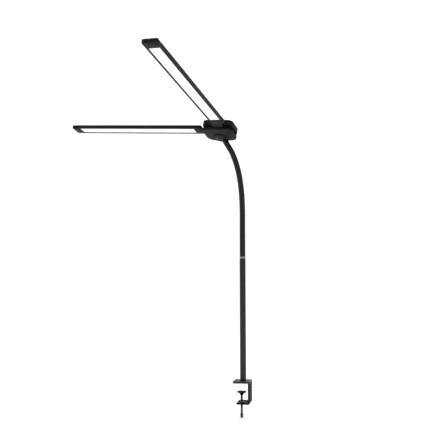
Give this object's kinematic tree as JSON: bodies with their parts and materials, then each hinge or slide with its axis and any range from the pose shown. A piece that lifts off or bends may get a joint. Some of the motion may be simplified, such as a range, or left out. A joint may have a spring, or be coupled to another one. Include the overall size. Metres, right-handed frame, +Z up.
{
  "type": "desk lamp",
  "caption": "Clamp-on desk lamp: a straight pole, a flexible neck and a hub that carries slim light bars on one pivot, over a screw clamp.",
  "frame": {"origin": "on the pole's axis, in the plane of the jaw pad's underside that rests on the desk", "axes": "+Z up along the pole; the clamp opens towards -X; one bar points towards -X and the other towards -Y at rest; +Y is the back"},
  "size_m": [0.509, 0.5151, 0.8361],
  "materials": {
    "clamp_paint": "satin black powder coat on steel",
    "pad_rubber": "matt black rubber",
    "bright_steel": "zinc plated steel",
    "screw_steel": "dark nickel plated steel",
    "nylon": "natural nylon",
    "black_plastic": "moulded black plastic",
    "pole_paint": "satin black powder coat",
    "ring_metal": "satin nickel",
    "collar_plastic": "black plastic",
    "neck_sleeve": "smooth black silicone sleeve",
    "neck_core": "wound steel hose",
    "hub_plastic": "fine textured black ABS",
    "spine_metal": "black die casting",
    "touch_gloss": "gloss black",
    "circuit_board": "green solder mask",
    "bar_metal": "black anodised",
    "bar_plastic": "black ABS",
    "opal_panel": "opal acrylic",
    "white_board": "white solder mask",
    "led_chip": "yellow phosphor"
  },
  "bodies": {
    "clamp": {"clamp_bracket": "clamp_paint", "jaw_pad": "pad_rubber", "pole_stud": "bright_steel", "stud_nut": "bright_steel", "foot_washer": "nylon", "screw_bushing": "bright_steel"},
    "pole": {"lower_pole": "pole_paint", "pole_plug": "black_plastic", "power_inlet": "black_plastic", "pole_coupling": "bright_steel", "joint_ring": "ring_metal", "neck_core_0": "neck_core", "neck_sleeve_0": "neck_sleeve"},
    "neck_1": {"neck_core_1": "neck_core", "neck_sleeve_1": "neck_sleeve"},
    "neck_2": {"neck_core_2": "neck_core", "neck_sleeve_2": "neck_sleeve"},
    "neck_3": {"neck_core_3": "neck_core", "neck_sleeve_3": "neck_sleeve"},
    "neck_4": {"neck_core_4": "neck_core", "neck_sleeve_4": "neck_sleeve"},
    "neck_5": {"neck_core_5": "neck_core", "neck_sleeve_5": "neck_sleeve"},
    "head": {"neck_core_6": "neck_core", "neck_sleeve_6": "neck_sleeve", "neck_collar": "collar_plastic", "hub_lower_shell": "hub_plastic", "hub_spine": "spine_metal", "hub_upper_shell": "hub_plastic", "hub_top_cover": "hub_plastic", "touch_panel": "touch_gloss", "driver_board": "circuit_board", "pivot_bolt": "bright_steel", "pivot_nut": "bright_steel", "friction_washers": "nylon", "hub_screws": "bright_steel"},
    "bar_1": {"bar_1_housing": "bar_metal", "bar_1_end_cap": "bar_plastic", "bar_1_arm": "bar_plastic", "bar_1_diffuser": "opal_panel", "bar_1_led_board": "white_board", "bar_1_leds": "led_chip", "bar_1_screws": "bright_steel"},
    "bar_2": {"bar_2_housing": "bar_metal", "bar_2_end_cap": "bar_plastic", "bar_2_arm": "bar_plastic", "bar_2_diffuser": "opal_panel", "bar_2_led_board": "white_board", "bar_2_leds": "led_chip", "bar_2_screws": "bright_steel"},
    "pad": {"pressure_plate": "clamp_paint", "pad_rubber": "pad_rubber"},
    "screw": {"clamp_screw": "screw_steel", "tommy_bar": "screw_steel", "bar_caps": "black_plastic"}
  },
  "joints": [
    {"name": "pole_swivel", "type": "hinge", "parent": "clamp", "child": "pole", "pos_m": [0, 0, 0.03], "axis": [0, 0, 1], "range_deg": [-170, 170]},
    {"name": "neck_bend", "type": "hinge", "parent": "pole", "child": "neck_1", "pos_m": [0, 0, 0.35445], "axis": [0, 1, 0], "range_deg": [-15, 15]},
    {"name": "neck_side_bend", "type": "hinge", "parent": "neck_1", "child": "neck_2", "pos_m": [0, 0, 0.40645], "axis": [1, 0, 0], "range_deg": [-15, 15]},
    {"name": "neck_bend_middle", "type": "hinge", "parent": "neck_2", "child": "neck_3", "pos_m": [0, 0, 0.45845], "axis": [0, 1, 0], "range_deg": [-15, 15]},
    {"name": "neck_side_bend_middle", "type": "hinge", "parent": "neck_3", "child": "neck_4", "pos_m": [-0.00263, 0, 0.51038], "axis": [0.9987, 0, 0.0506], "range_deg": [-15, 15]},
    {"name": "neck_bend_top", "type": "hinge", "parent": "neck_4", "child": "neck_5", "pos_m": [-0.0105, 0, 0.56178], "axis": [0, 1, 0], "range_deg": [-15, 15]},
    {"name": "neck_side_bend_top", "type": "hinge", "parent": "neck_5", "child": "head", "pos_m": [-0.02656, 0, 0.61124], "axis": [0.9511, 0, 0.309], "range_deg": [-15, 15]},
    {"name": "bar_1_swing", "type": "hinge", "parent": "head", "child": "bar_1", "pos_m": [-0.05545, -0.03939, 0.66236], "axis": [0.1154, 0.1461, 0.9825], "range_deg": [-30, 20]},
    {"name": "bar_2_swing", "type": "hinge", "parent": "head", "child": "bar_2", "pos_m": [-0.05545, -0.03939, 0.66236], "axis": [0.1154, 0.1461, 0.9825], "range_deg": [-20, 100]},
    {"name": "screw_travel", "type": "slide", "parent": "clamp", "child": "pad", "axis": [0, 0, 1], "range_m": [-0.015, 0.02]},
    {"name": "screw_turn", "type": "hinge", "parent": "pad", "child": "screw", "pos_m": [-0.004, 0, -0.06], "axis": [0, 0, 1], "range_deg": [-3600, 4800]}
  ],
  "couplings": [
    {"joint": "neck_bend_middle", "follows": "neck_bend", "ratio": 1},
    {"joint": "neck_bend_top", "follows": "neck_bend", "ratio": 1},
    {"joint": "neck_side_bend_middle", "follows": "neck_side_bend", "ratio": 1},
    {"joint": "neck_side_bend_top", "follows": "neck_side_bend", "ratio": 1},
    {"joint": "screw_travel", "follows": "screw_turn", "m_per_rad": 0.00023873}
  ]
}
